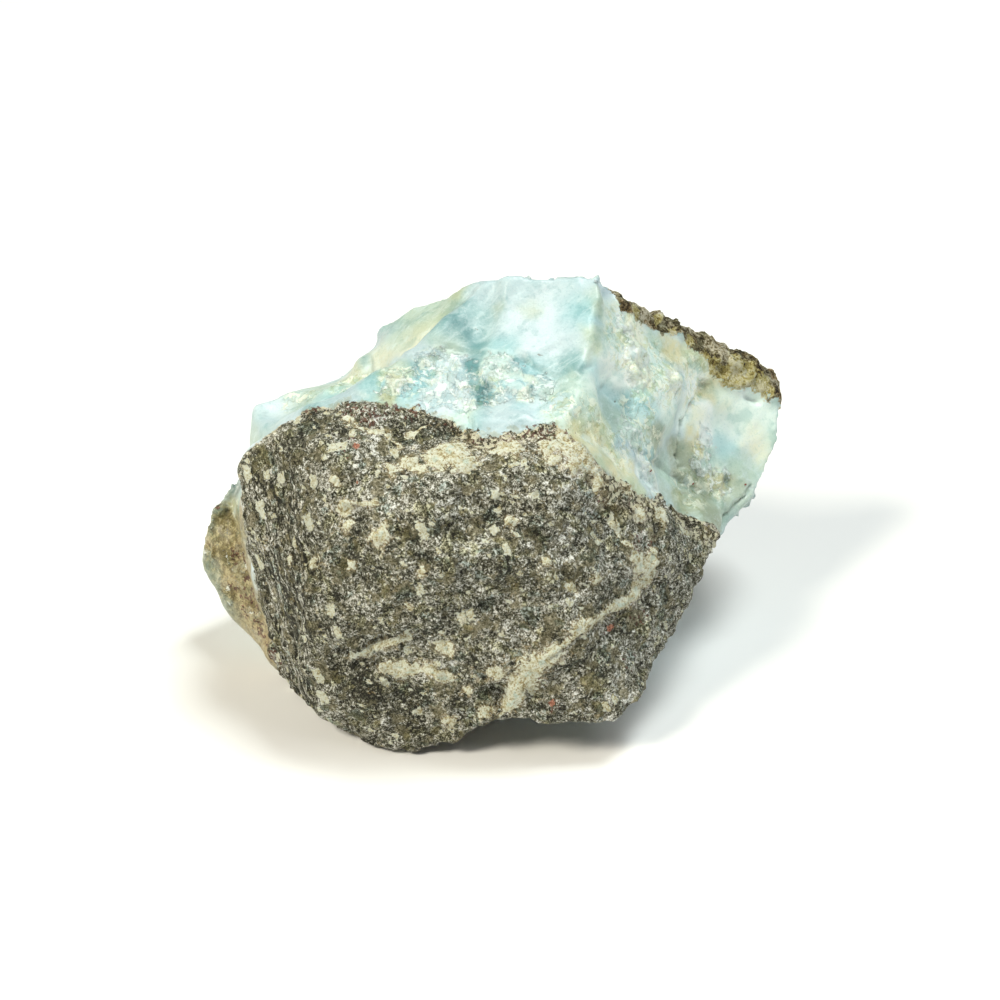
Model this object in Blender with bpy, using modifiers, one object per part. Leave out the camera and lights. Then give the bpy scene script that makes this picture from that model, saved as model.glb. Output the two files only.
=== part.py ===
"""Rough larimar: one stone, a pale blue vein broken out with the dark basalt that it grew on.

The stone is one closed solid. It is put together as a geologist would describe it: a few blunt
masses, each the convex hull of its own corners, are melted into one body, and then the body
gets the relief of a broken rock: scooped chips, swellings, lumps and scalloped breaks.

Millimetres are used throughout and are turned into metres once, when the mesh is made.
X runs to the right and Y away from the face that shows the basalt. Z is up.
"""

import itertools

import bmesh
import bpy
import numpy as np

MM = 0.001
NAME = "rough_larimar"

# Resolution of the body, the rounds that soften its edges, and the triangles that it may have
VOXEL = 0.85
SOFTENING_ROUNDS = 7
MOST_TRIANGLES = 9600

# Grey basalt, the larger share of what shows, dull as broken rock is
BASALT_GREY = (0.17, 0.17, 0.15, 1.0)
ROUGHNESS = 0.75

# Roughness of the broken rock: width and height of the lumps and of the scalloped breaks
LUMP_WIDTH = 13
LUMP_HEIGHT = 0.8
KNOB_WIDTH = 6.5
KNOB_HEIGHT = 0.6
BASALT_BREAK_WIDTH = 8
BASALT_BREAK_HEIGHT = 1.2
VEIN_BREAK_WIDTH = 11
VEIN_BREAK_HEIGHT = 1.6
VEIN_LUMP_SHARE = 0.6

# Mean of the scallops, taken off so that the breaks neither swell nor shrink the stone
SCALLOP_MEAN = 0.3

# Cells along one side of the random lattices that the noises read
LATTICE = 16

# Corners of the masses, each (x, y, z). A mass is the convex hull of its corners.
# The dark wall: its top edge from left to right, then its front, its foot and its left side
BASALT_WALL = [
    (-35, -9, 35.5),
    (-33, -8, 39),
    (-27.5, -8, 43),
    (-21, -9, 45.5),
    (-13.5, -11, 45.5),
    (-8.5, -14, 45),
    (-3.5, -17, 43.5),
    (8, -16, 44),
    (13.5, -14, 40.5),
    (18, -12, 35),
    (31, -3, 21),
    (-24, -17, 41),
    (-8, -22, 42),
    (8, -22, 41),
    (14.5, -19, 35.5),
    (19.5, -17, 26.5),
    (27, -9, 20.5),
    (-9, -28, 33),
    (2.5, -28, 32),
    (10, -25, 20),
    (1, -29, 12),
    (-23, -24, 31.5),
    (-21, -28, 20),
    (17.5, -29, 6.4),
    (21, -27, 8.6),
    (23.3, -21.5, 10),
    (24.3, -16.5, 12),
    (26.3, -8, 13.5),
    (-14.5, -29, 0),
    (-7, -30, 3),
    (-24.5, -23, 3),
    (-26.5, -24, 22.5),
    (-34.5, -12, 26),
    (-29.5, -14, 0),
    (-34, -4, 1),
    (-37.5, -3, 24.5),
]
# The vein's highest part: the top edge, the slope down to the wall, and its back
LARIMAR_CREST = [
    (-4, 8, 58),
    (2, 9, 57.4),
    (8.5, 9, 56.5),
    (14, 8, 57),
    (-9, 4, 51),
    (-12, 0, 48.5),
    (-17.5, -3, 47),
    (-21, -7, 45),
    (-9.5, -12, 45),
    (-3.5, -15, 43.5),
    (8, -14, 43.5),
    (14, 6, 48.5),
    (12.5, -1, 43.5),
    (-6, 22, 40),
    (12, 24, 38),
]
# The slope that runs down to the right of the crest
RIGHT_SHOULDER = [
    (13, 8.5, 55),
    (15.5, 11, 50.5),
    (17.5, 13.5, 48.5),
    (22.5, 15.5, 47.5),
    (14, 3, 49),
    (13.5, -3, 44.5),
    (8, -14, 43.5),
    (13, -9, 41.5),
    (12, -13, 40.5),
    (20, 9, 45),
    (19.5, -2, 38.5),
    (17, -11, 35),
    (27.5, 13.5, 40),
    (28, 11, 37),
    (26.5, 6, 34),
    (25, 2, 31.5),
    (22, -6, 30),
    (2, 0, 46),
    (10, 20, 24),
]
# The thin wing that stands out to the right, with the rear wall's crust along its back
RIGHT_WING = [
    (20.5, 14, 48),
    (28, 15, 40.5),
    (29.5, 15, 36.5),
    (32.5, 17, 35.5),
    (36, 18, 32.5),
    (41.5, 18, 32),
    (23, 18, 47),
    (27, 20, 42),
    (30.5, 22, 38.2),
    (34, 23, 36),
    (38.5, 25, 34.5),
    (42.5, 25, 32),
    (42.5, 20, 32),
    (42.4, 16, 28),
    (40.4, 11, 22.5),
    (37.4, 8, 20.3),
    (32, 1, 18.5),
    (29, 2, 24),
    (26.5, 5, 29),
    (28, 10.5, 32.5),
    (12, 24, 22),
    (28, 28, 20),
    (37, 27, 25),
]
# The lobe that shows past the wall's left side
LEFT_LOBE = [
    (-38.5, 8, 27),
    (-42, 8, 26),
    (-44.8, 6, 22),
    (-45, 4, 15),
    (-43.5, 2, 11),
    (-41, 0, 8),
    (-38, -3, 4.5),
    (-33, -8, 1),
    (-29, -14, 1),
    (-24, 16, 2),
    (-24, 14, 28),
    (-38, 12, 13),
]
# The vein's left flank, and the lower step that ends it
LEFT_FLANK = [
    (-4, 11, 54.5),
    (-8.5, 14, 51),
    (-14.5, 14, 48.7),
    (-19.3, 14, 47.2),
    (-19.5, 12, 42.5),
    (-10, 22, 32),
    (-10, -4, 40),
    (-24, 6, 36.5),
    (-22, -4, 41),
]
LEFT_STEP = [
    (-19.5, 12, 42.5),
    (-22.5, 11, 41),
    (-26, 10, 41),
    (-31.5, 8, 38.5),
    (-36, 6, 37.5),
    (-36.5, 3, 35.5),
    (-36.5, 0, 31.5),
    (-28, -7, 42),
    (-21, -6, 44.5),
    (-18, 18, 30),
    (-28, 16, 22),
    (-16, -4, 38),
]
# The hollow between the wall's right end and the wing
VALLEY = [
    (19.5, -8, 34.5),
    (24, -5, 28),
    (29, -2, 22),
    (32, -0.5, 19),
    (32.5, 2, 20),
    (34.5, 6, 21.5),
    (25, 2, 32.5),
    (21, -2, 36),
    (26, 10, 33),
    (10, -4, 20),
    (28, 20, 15),
]
# What lies behind and under the rest, and the foot that the stone rests on
CORE = [
    (-36, 2, 29),
    (-40, 5, 20),
    (-36, 0, 9),
    (-30, 9, 36),
    (-20, 14, 41),
    (-27, -9, 42.5),
    (-21, -8, 45),
    (-34, -7, 37),
    (-30, -12, 8),
    (28, 16, 37),
    (34, 14, 27),
    (26, 2, 15),
    (20, 9, 43),
    (-8, 9, 50),
    (8, 9, 54),
    (-20, -20, 20),
    (15, -17, 22),
    (-32, 15, 12),
    (-24, 20, 28),
    (-8, 28, 12),
    (14, 29, 14),
    (26, 24, 30),
    (2, 23, 44),
    (-26, 12, 1),
    (-10, 22, -1),
    (16, 16, -1),
    (15, -5, -1),
    (-16, -20, -1),
]
REAR_MASS = [
    (-26, 12, -1),
    (-8, 26, -1),
    (10, 26, -1),
    (20, 14, 0),
    (15, -5, -1),
    (-17, -24, -1),
    (-26, 18, 22),
    (-4, 31, 18),
    (16, 31, 16),
    (27, 24, 18),
    (0, 24, 42),
    (20, 26, 34),
]
MASSES = (
    BASALT_WALL,
    LARIMAR_CREST,
    RIGHT_SHOULDER,
    RIGHT_WING,
    LEFT_LOBE,
    LEFT_FLANK,
    LEFT_STEP,
    VALLEY,
    CORE,
    REAR_MASS,
)

# Chips scooped out by a ball: the middle of the scar (x, y, z), the way the surface faces
# there, the width of the scar, and its depth
VEIN_CHIPS = [
    ((5, 0, 52), (0.0, -0.5, 0.87), 34, 2.2),
    ((-6, -7, 48), (-0.1, -0.5, 0.86), 20, 1.2),
    ((18.5, -2, 40.5), (0.5, -0.4, 0.7), 13, 1.0),
    ((35.5, 11, 29), (0.5, -0.6, 0.55), 25, 2.2),
    ((28, 0, 26.5), (0.2, -0.5, 0.8), 16, 1.2),
    ((-10, 10, 48.5), (-0.5, -0.4, 0.75), 24, 1.4),
    ((-25, 6, 39.5), (-0.2, -0.3, 0.9), 18, 1.2),
]
WALL_CHIPS = [
    ((-16.5, -28.5, 11), (0.0, -1.0, 0.0), 26, 1.6),
    ((20, -19, 17), (0.7, -0.7, 0.1), 20, 0.8),
    ((-30, -18, 19.5), (-0.8, -0.5, -0.1), 22, 1.2),
    ((-13, -16, 43.5), (-0.1, -0.4, 0.9), 17, 1.0),
    ((8, -27, 4.8), (0.0, -0.35, -0.94), 22, 1.7),
]
REAR_CHIPS = [
    ((-16, 25, 26), (-0.4, 0.9, 0.2), 30, 3.0),
    ((16, 29, 26), (0.2, 0.95, 0.2), 28, 2.4),
    ((0, 28, 8), (0.0, 0.9, -0.3), 28, 2.0),
    ((-36, 12, 18), (-0.8, 0.5, 0.2), 22, 2.0),
    ((30, 20, 18), (0.6, 0.3, -0.6), 24, 2.0),
]
NOTCHES = [
    ((-27, 10, 39), (-0.1, 0.3, 0.95), 11, 1.6),
    ((-20.5, 12, 42.5), (-0.3, 0.2, 0.9), 7, 0.8),
]
CHIPS = VEIN_CHIPS + WALL_CHIPS + REAR_CHIPS + NOTCHES

# Swellings that stand proud on the vein, given as the chips are, with a height for the depth
SWELLINGS = [
    ((11, -8, 43), (0.3, -0.4, 0.85), 20, 1.6),
    ((1, -12.5, 45), (0.0, -0.5, 0.87), 13, 0.8),
    ((-4, -12, 45.5), (0.0, -0.5, 0.87), 9, 0.8),
    ((25, 8, 39.5), (0.6, -0.5, 0.6), 12, 0.8),
]

# Where the vein meets the dark wall: y of the contact at each x, and how wide the change is
CONTACT_X = (-36, -27, -21, -9.5, -3.5, 3, 8, 12, 17, 21, 26, 31)
CONTACT_Y = (-6, -8, -8, -12, -16, -15, -15, -14, -12, -9, -5, -2)
CONTACT_WIDTH = 2


def value_noise(points, size, seed):
    """Smooth noise from -1 to 1: random values at lattice corners, eased between them."""
    lattice = np.random.default_rng(seed).uniform(-1, 1, (LATTICE,) * 3)
    cell, place = np.divmod(points / size, 1)
    ease = place * place * (3 - 2 * place)
    total = np.zeros(len(points))
    for corner in itertools.product((0, 1), repeat=3):
        index = (cell.astype(int) + corner) % LATTICE
        share = np.where(corner, ease, 1 - ease).prod(axis=1)
        total += share * lattice[tuple(index.T)]
    return total


def scallops(points, size, seed):
    """0 in the middle of each shallow dish, near 1 on the sharp ridges where dishes meet: the
    squared distance to the nearest of the random middles, of which each cell has one."""
    jitter = np.random.default_rng(seed).random((LATTICE, LATTICE, LATTICE, 3))
    cell = np.floor(points / size).astype(int)
    nearest = np.full(len(points), np.inf)
    for step in itertools.product((-1, 0, 1), repeat=3):
        near_cell = cell + step
        middle = near_cell + jitter[tuple((near_cell % LATTICE).T)]
        nearest = np.minimum(nearest, ((points / size - middle) ** 2).sum(axis=1))
    return nearest


def ball_through(middle, facing, width, depth):
    """Radius and middle of the ball that leaves a scar of the width and depth."""
    facing = np.array(facing) / np.linalg.norm(facing)
    radius = (width * width / 4 + depth * depth) / (2 * depth)
    return radius, np.array(middle) + facing * (radius - depth)


def scoop(points, middle, facing, width, depth):
    """A chip: points of the scar that lie inside the ball are pushed out to its surface."""
    radius, centre = ball_through(middle, facing, width, depth)
    away = points - centre
    distance = np.linalg.norm(away, axis=1, keepdims=True)
    from_middle = np.linalg.norm(points - middle, axis=1, keepdims=True)
    in_scar = np.clip((0.65 * width - from_middle) / (0.2 * width), 0, 1)
    push = np.clip(radius - distance, 0, 2 * depth) * in_scar
    return points + away / distance * push


def swell(points, middle, facing, width, height):
    """A low swelling, highest in the middle and level with the stone at its rim."""
    facing = np.array(facing) / np.linalg.norm(facing)
    distance = np.linalg.norm(points - middle, axis=1, keepdims=True) / (width / 2)
    return points + facing * height * np.clip(1 - distance**2, 0, 1) ** 2


def read_points(mesh, kind="co"):
    values = np.empty(3 * len(mesh.vertices))
    mesh.vertices.foreach_get(kind, values)
    return values.reshape(-1, 3)


def relief(mesh):
    """Chips and swellings first, then the roughness that the broken rock has all over."""
    points = read_points(mesh)
    for chip in CHIPS:
        points = scoop(points, *chip)
    for swelling in SWELLINGS:
        points = swell(points, *swelling)
    mesh.vertices.foreach_set("co", points.ravel())
    mesh.update()
    facing = read_points(mesh, "normal")
    behind_contact = points[:, 1] - np.interp(points[:, 0], CONTACT_X, CONTACT_Y)
    vein = np.clip(behind_contact / CONTACT_WIDTH, 0, 1)
    lumps = LUMP_HEIGHT * value_noise(points, LUMP_WIDTH, seed=1)
    lumps += KNOB_HEIGHT * value_noise(points, KNOB_WIDTH, seed=2)
    basalt = scallops(points, BASALT_BREAK_WIDTH, seed=3) - SCALLOP_MEAN
    larimar = scallops(points, VEIN_BREAK_WIDTH, seed=4) - SCALLOP_MEAN
    height = (lumps + BASALT_BREAK_HEIGHT * basalt) * (1 - vein)
    height += (VEIN_LUMP_SHARE * lumps + VEIN_BREAK_HEIGHT * larimar) * vein
    points += facing * height[:, None]
    mesh.vertices.foreach_set("co", points.ravel())


def hull_mesh(corners):
    """A mesh of the convex hull of the corners."""
    shape = bmesh.new()
    for corner in corners:
        shape.verts.new(corner)
    made = bmesh.ops.convex_hull(shape, input=shape.verts)
    inside = [item for item in made["geom_interior"] if isinstance(item, bmesh.types.BMVert)]
    bmesh.ops.delete(shape, geom=inside, context="VERTS")
    bmesh.ops.recalc_face_normals(shape, faces=shape.faces)
    mesh = bpy.data.meshes.new("hull")
    shape.to_mesh(mesh)
    shape.free()
    return mesh


def evaluated_mesh(obj):
    """The object's mesh with its modifiers applied, and the object removed."""
    graph = bpy.context.evaluated_depsgraph_get()
    mesh = bpy.data.meshes.new_from_object(obj.evaluated_get(graph))
    bpy.data.objects.remove(obj)
    return mesh


def stone_material():
    material = bpy.data.materials.new("basalt and larimar")
    material.use_nodes = True
    surface = material.node_tree.nodes["Principled BSDF"]
    surface.inputs["Base Color"].default_value = BASALT_GREY
    surface.inputs["Roughness"].default_value = ROUGHNESS
    surface.inputs["Metallic"].default_value = 0.0
    return material


def add_object(name, mesh):
    obj = bpy.data.objects.new(name, mesh)
    bpy.context.scene.collection.objects.link(obj)
    return obj


def drop_pockets(mesh):
    """Deletes every island of the mesh but the largest: a join can leave tiny sealed pockets."""
    shape = bmesh.new()
    shape.from_mesh(mesh)
    left = set(shape.verts)
    islands = []
    while left:
        front = [left.pop()]
        island = list(front)
        while front:
            ends = {edge.other_vert(vert) for vert in front for edge in vert.link_edges}
            front = list(ends & left)
            left -= ends
            island += front
        islands.append(island)
    islands.sort(key=len)
    pockets = [vert for island in islands[:-1] for vert in island]
    bmesh.ops.delete(shape, geom=pockets, context="VERTS")
    shape.to_mesh(mesh)
    shape.free()


def melted_body():
    """All the masses as one closed mesh, in millimetres."""
    body, *others = [add_object("mass", hull_mesh(corners)) for corners in MASSES]
    for other in others:
        union = body.modifiers.new("union", "BOOLEAN")
        union.operation = "UNION"
        union.object = other
    remesh = body.modifiers.new("melt", "REMESH")
    remesh.mode = "VOXEL"
    remesh.voxel_size = VOXEL
    soften = body.modifiers.new("soften", "SMOOTH")
    soften.iterations = SOFTENING_ROUNDS
    mesh = evaluated_mesh(body)
    for other in others:
        bpy.data.objects.remove(other)
    drop_pockets(mesh)
    return mesh


def cut_flat(mesh):
    """Grinds the underside flat at z = 0, where the stone rests, and closes the cut."""
    shape = bmesh.new()
    shape.from_mesh(mesh)
    everything = shape.verts[:] + shape.edges[:] + shape.faces[:]
    cut = bmesh.ops.bisect_plane(shape, geom=everything, plane_no=(0, 0, -1), clear_outer=True)
    rim = [item for item in cut["geom_cut"] if isinstance(item, bmesh.types.BMEdge)]
    bmesh.ops.contextual_create(shape, geom=rim)
    bmesh.ops.triangulate(shape, faces=shape.faces)
    shape.to_mesh(mesh)
    shape.free()


def main():
    for obj in list(bpy.data.objects):
        bpy.data.objects.remove(obj)
    mesh = melted_body()
    relief(mesh)
    stone = add_object(NAME, mesh)
    decimate = stone.modifiers.new("fewer faces", "DECIMATE")
    decimate.ratio = MOST_TRIANGLES / (2 * len(stone.data.polygons))
    mesh = evaluated_mesh(stone)
    cut_flat(mesh)
    points = read_points(mesh)
    low, high = points.min(axis=0), points.max(axis=0)
    foot = ((low[0] + high[0]) / 2, (low[1] + high[1]) / 2, 0)
    mesh.vertices.foreach_set("co", ((points - foot) * MM).ravel())
    mesh.materials.append(stone_material())
    collection = bpy.data.collections.new(NAME)
    bpy.context.scene.collection.children.link(collection)
    collection.objects.link(bpy.data.objects.new(NAME, mesh))


main()
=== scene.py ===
"""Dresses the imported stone: rough larimar on grey basalt, on a pale floor in soft studio light.

The CAD solid carries the masses, chips and edges. Here a finer copy of its skin gets the relief
of each mineral and the markings, and one material turns the markings into basalt, pale blue
larimar and brown crust. Lengths are millimetres unless a name says otherwise, in the CAD frame.

Markings that are seen in the front view are given as points of that view, (x, y) in its
1000 x 1000 frame. Each is carried along its line of sight onto the stone, so that it sits on
the surface from every side.
"""

import itertools
import math

import bpy
import numpy as np
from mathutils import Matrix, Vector
from mathutils.bvhtree import BVHTree


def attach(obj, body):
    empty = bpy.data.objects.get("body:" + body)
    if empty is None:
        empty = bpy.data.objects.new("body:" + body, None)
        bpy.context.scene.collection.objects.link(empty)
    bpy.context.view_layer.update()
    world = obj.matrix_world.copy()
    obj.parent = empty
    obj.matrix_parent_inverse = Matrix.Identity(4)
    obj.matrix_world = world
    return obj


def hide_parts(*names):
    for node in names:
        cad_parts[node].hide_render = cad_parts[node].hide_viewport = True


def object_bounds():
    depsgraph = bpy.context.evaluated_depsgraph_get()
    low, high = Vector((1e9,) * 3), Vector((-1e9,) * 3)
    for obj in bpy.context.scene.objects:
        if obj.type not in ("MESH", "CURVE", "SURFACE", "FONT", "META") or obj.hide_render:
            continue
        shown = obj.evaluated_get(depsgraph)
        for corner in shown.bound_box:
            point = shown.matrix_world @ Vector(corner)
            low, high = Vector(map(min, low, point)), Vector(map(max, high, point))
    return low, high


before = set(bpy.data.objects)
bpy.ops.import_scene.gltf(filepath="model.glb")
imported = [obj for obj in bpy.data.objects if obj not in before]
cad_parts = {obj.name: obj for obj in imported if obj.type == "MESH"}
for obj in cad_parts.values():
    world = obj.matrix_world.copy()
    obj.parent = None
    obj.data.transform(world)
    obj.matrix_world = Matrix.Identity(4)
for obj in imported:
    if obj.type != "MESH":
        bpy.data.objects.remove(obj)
cad_low, cad_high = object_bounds()

bl_info = {
    "name": "Rough Larimar",
    "version": (1, 0, 0),
    "blender": (4, 5, 0),
    "location": "View3D > Sidebar > Larimar",
    "description": "Dresses a rough larimar stone and sets its pale studio stage",
    "category": "Object",
}

NODE = "rough_larimar"
BODY = "root"
PIECE = "larimar_on_basalt"

MM = 0.001
FRAME_SIDE = 1000

# The front view: what the camera looks at, how steeply, from how far and from how near on, in
# metres
VIEW_TARGET = Vector((0.00090, -0.00073, 0.025))
VIEW_ELEVATION = math.radians(30)
VIEW_DISTANCE = 0.340
NEAR_CLIP = 0.01
# Its lens and its sensor's width
VIEW_LENS = 85
SENSOR = 36

# The named tints of the larimar, as display colours. The snow and frost tints are lighter than
# the larimar's own colour: painted light for the right slope and the wing, which the lamps
# light less than the top.
TINTS = {
    "snow_and_painted_light": (246, 252, 247), "frost_and_painted_light": (230, 245, 237), "foam": (204, 224, 214),
    "white": (203, 217, 223), "ice": (186, 207, 213), "sky": (155, 195, 200),
    "mist": (174, 194, 199), "teal": (134, 170, 171), "deep": (103, 147, 150),
    "mint": (178, 196, 181), "sea": (160, 184, 174), "moss": (150, 161, 140),
    "olive": (174, 184, 152), "straw": (206, 202, 160), "cream": (208, 211, 190),
    "milk": (238, 241, 219), "lake": (188, 220, 221), "pool": (160, 198, 200),
    "jade": (186, 208, 193), "sage": (194, 206, 176), "reed": (168, 177, 152),
    "corn": (222, 218, 180), "ochre": (128, 118, 78), "tan": (166, 148, 106),
    "lichen": (136, 142, 120), "slate": (152, 162, 158),
}

# Where each tint shows in the front view: x, y and how far it spreads
TINT_SPOTS = {
    "ice": [
        (492, 284, 1.8), (515, 286, 2.4), (560, 284, 2.4), (588, 284, 2), (500, 320, 1.8),
        (570, 328, 2), (580, 342, 1.6), (262, 424, 2.2), (432, 396, 2), (500, 426, 1.4),
        (524, 412, 1.8), (556, 402, 1.6), (622, 444, 1.4),
    ],
    "mist": [
        (478, 292, 1.2), (500, 300, 1.6), (390, 334, 1.6), (376, 342, 1.4), (350, 398, 1.6),
        (418, 356, 1.6), (436, 362, 1.2), (462, 378, 1.4), (505, 398, 1.4), (490, 416, 1.6),
        (508, 414, 1.4), (520, 424, 1.4),
    ],
    "olive": [
        (500, 309, 0.8), (532, 307, 1.2), (597, 292, 1.2), (600, 306, 1), (460, 296, 1.2),
        (444, 316, 1.8), (420, 330, 1), (390, 392, 1.2), (580, 424, 1.3), (680, 500, 1.2),
        (696, 500, 1.4),
    ],
    "white": [
        (545, 294, 2), (556, 312, 1.6), (542, 324, 1.8), (520, 316, 1.8), (502, 331, 1.4),
        (556, 342, 2), (545, 348, 1.6), (528, 346, 1.1), (523, 332, 1.6), (284, 404, 2),
        (452, 366, 1.6), (440, 384, 1.6), (462, 396, 1.4), (448, 408, 1.4),
    ],
    "deep": [
        (452, 314, 1.3), (460, 322, 1.4), (468, 333, 1.4), (476, 342, 1.2), (520, 357, 0.9),
        (476, 358, 1.2), (479, 368, 0.9), (484, 398, 1.4), (490, 393, 1.3), (580, 371, 0.7),
    ],
    "teal": [
        (480, 318, 1.9), (487, 330, 1.9), (450, 334, 1.8), (549, 360, 1.9), (562, 363, 1.7),
        (577, 361, 1.5), (364, 364, 1), (416, 366, 1.2), (472, 378, 1), (540, 386, 1.4),
        (478, 406, 1), (622, 400, 1.8),
    ],
    "sky": [
        (500, 344, 1.6), (512, 339, 1.4), (573, 306, 1.8), (584, 314, 1.8), (590, 300, 1.2),
        (332, 394, 1.6), (374, 386, 1.6), (428, 372, 1.2), (420, 386, 1.6), (410, 394, 1.2),
        (522, 366, 0.9), (540, 366, 1.2), (510, 384, 1.4), (520, 404, 1), (478, 418, 1.2),
    ],
    "sage": [
        (592, 334, 1.3), (595, 350, 1.2), (600, 418, 1), (622, 336, 1.2), (692, 362, 1.6),
        (684, 356, 0.9), (606, 430, 1.2), (632, 482, 1), (600, 456, 1.1), (638, 488, 1),
        (664, 496, 1),
    ],
    "cream": [
        (588, 358, 0.8), (430, 332, 1.4), (412, 344, 1.6), (384, 356, 1.8), (352, 370, 1.6),
        (394, 382, 1.3),
    ],
    "foam": [
        (610, 316, 1.5), (462, 412, 1.8), (500, 360, 1.5), (492, 370, 1.4), (508, 372, 1.3),
        (586, 398, 2), (552, 416, 1.4), (612, 344, 1.6), (656, 372, 1.6), (640, 430, 1.4),
        (670, 424, 1.2), (652, 480, 1.1), (722, 394, 1.2), (768, 434, 1.4), (712, 464, 1.3),
    ],
    "mint": [
        (440, 302, 2), (424, 316, 2.6), (405, 322, 2.4), (398, 338, 1.4), (330, 378, 2.4),
        (300, 396, 2.2), (254, 446, 2), (402, 370, 1.8), (446, 348, 1.5), (566, 414, 1.4),
        (582, 408, 1.4), (664, 488, 1), (738, 496, 1.6),
    ],
    "milk": [
        (530, 382, 1), (521, 395, 0.9), (634, 328, 1.4), (640, 342, 1), (634, 366, 1.3),
        (672, 378, 1.3), (646, 382, 0.9), (614, 456, 1.2), (724, 403, 1), (700, 418, 1.2),
        (756, 442, 1.9),
    ],
    "sea": [(548, 392, 1.1), (572, 384, 1.6), (612, 418, 1.2), (662, 460, 1.1)],
    # lighter than the larimar's own colour: painted light on the right slope and the wing
    "frost_and_painted_light": [
        (590, 382, 1.4), (610, 370, 1.8), (648, 352, 1.6), (684, 412, 1.3), (664, 400, 1.8),
        (730, 422, 2), (742, 404, 1.8), (764, 412, 2),
    ],
    "straw": [
        (574, 432, 0.9), (668, 348, 1.2), (607, 463, 0.8), (712, 478, 0.9), (722, 488, 0.8),
        (234, 506, 1),
    ],
    "corn": [
        (598, 434, 1.3), (676, 354, 1.2), (626, 468, 1.2), (592, 446, 1.1), (614, 472, 1),
        (692, 436, 1), (712, 386, 1.4), (694, 448, 1),
    ],
    "lake": [(594, 368, 1.6), (612, 394, 1.2), (638, 404, 1.6), (652, 412, 1.4), (724, 446, 1.6)],
    # lighter than the larimar's own colour: painted light on the right slope and the wing
    "snow_and_painted_light": [
        (622, 378, 1.6), (620, 322, 1.6), (611, 358, 1.6), (628, 356, 1.2), (662, 388, 1),
        (690, 380, 1.6), (688, 396, 1.6), (644, 472, 1.6), (652, 488, 1.6), (706, 410, 1),
        (706, 432, 1.3),
    ],
    "jade": [(656, 342, 1.2), (624, 430, 1.4), (668, 474, 1.2), (746, 472, 1.8), (734, 466, 1.2)],
    "pool": [(630, 396, 0.9), (650, 456, 1.1), (728, 454, 1.3)],
    "reed": [(656, 438, 1.3), (674, 448, 1.2), (688, 470, 1.3), (688, 452, 0.9), (736, 484, 1.6)],
    "moss": [(700, 484, 1.3), (708, 512, 1.4)],
    "slate": [(240, 486, 1.2), (230, 494, 1.2)],
    "lichen": [
        (222, 510, 1.4), (212, 524, 1.4), (212, 560, 1.4), (216, 574, 1.6), (220, 592, 1.8),
        (230, 608, 1.8),
    ],
    "ochre": [
        (226, 524, 1.8), (234, 536, 2), (218, 550, 1.6), (230, 560, 1.8), (236, 592, 1.4),
        (243, 530, 1.6), (250, 600, 2.4),
    ],
    "tan": [
        (208, 540, 1.4), (228, 578, 1.4), (240, 512, 1.6), (242, 548, 2.2), (244, 566, 2.4),
        (246, 584, 2.4), (250, 616, 2.4), (262, 640, 2.4), (276, 660, 2.2),
    ],
}

# Crushed, sugary larimar: x, y and how far it spreads
CRUSHED_SPOTS = [
    (430, 368, 3), (450, 372, 3.4), (438, 392, 3), (462, 398, 2.6), (478, 378, 2.4),
    (500, 366, 2.4), (520, 384, 2.8), (502, 392, 2.2), (542, 384, 2), (396, 388, 2), (624, 330, 2),
    (636, 352, 2.4), (640, 378, 2.2), (676, 380, 2), (634, 436, 2.4), (640, 460, 2),
    (648, 486, 2.4), (704, 436, 1.8), (700, 462, 2.2), (720, 482, 2), (252, 612, 1.6),
    (222, 518, 1.8), (240, 556, 2.4), (212, 552, 1.4), (226, 592, 1.8),
]

# Mottled larimar, olive, milky and blue by turns: x, y and how far it spreads
MOTTLED_SPOTS = [
    (630, 340, 5), (660, 370, 5), (640, 410, 3), (690, 380, 4), (700, 452, 2), (716, 484, 2.4),
    (690, 490, 3), (650, 450, 4), (615, 450, 3), (590, 420, 3.5), (560, 405, 2.5), (400, 380, 3),
    (350, 385, 3), (300, 400, 2.5), (435, 370, 3), (480, 390, 3), (225, 540, 6),
]

# The contact of the larimar with the wall, from left to right, in the front view
CONTACT_LINE = [
    (262, 440), (300, 415), (345, 402), (372, 402), (400, 405), (415, 409), (430, 415), (446, 417),
    (460, 425), (475, 437), (498, 436), (520, 430), (545, 424), (560, 428), (590, 455), (608, 478),
    (622, 480), (640, 497), (655, 497), (670, 505), (690, 518), (702, 525), (718, 535),
]
# How far back the contact lies where the front view doesn't show it: x and y
CONTACT_LEFT = [(-60, -4), (-38, -5), (-35, -9)]
CONTACT_RIGHT = [(36, 0), (60, 2)]

# The lower edge of the brown crust, from left to right, in the front view
CRUST_LINE = [
    (622, 309), (640, 322), (655, 328), (685, 343), (698, 352), (704, 366), (712, 378), (722, 384),
    (745, 392), (776, 402),
]
CRUST_LEFT = [(-60, 16), (-30, 18), (-10, 16), (5, 13.5), (14, 12)]
CRUST_RIGHT = [(60, 20)]
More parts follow.
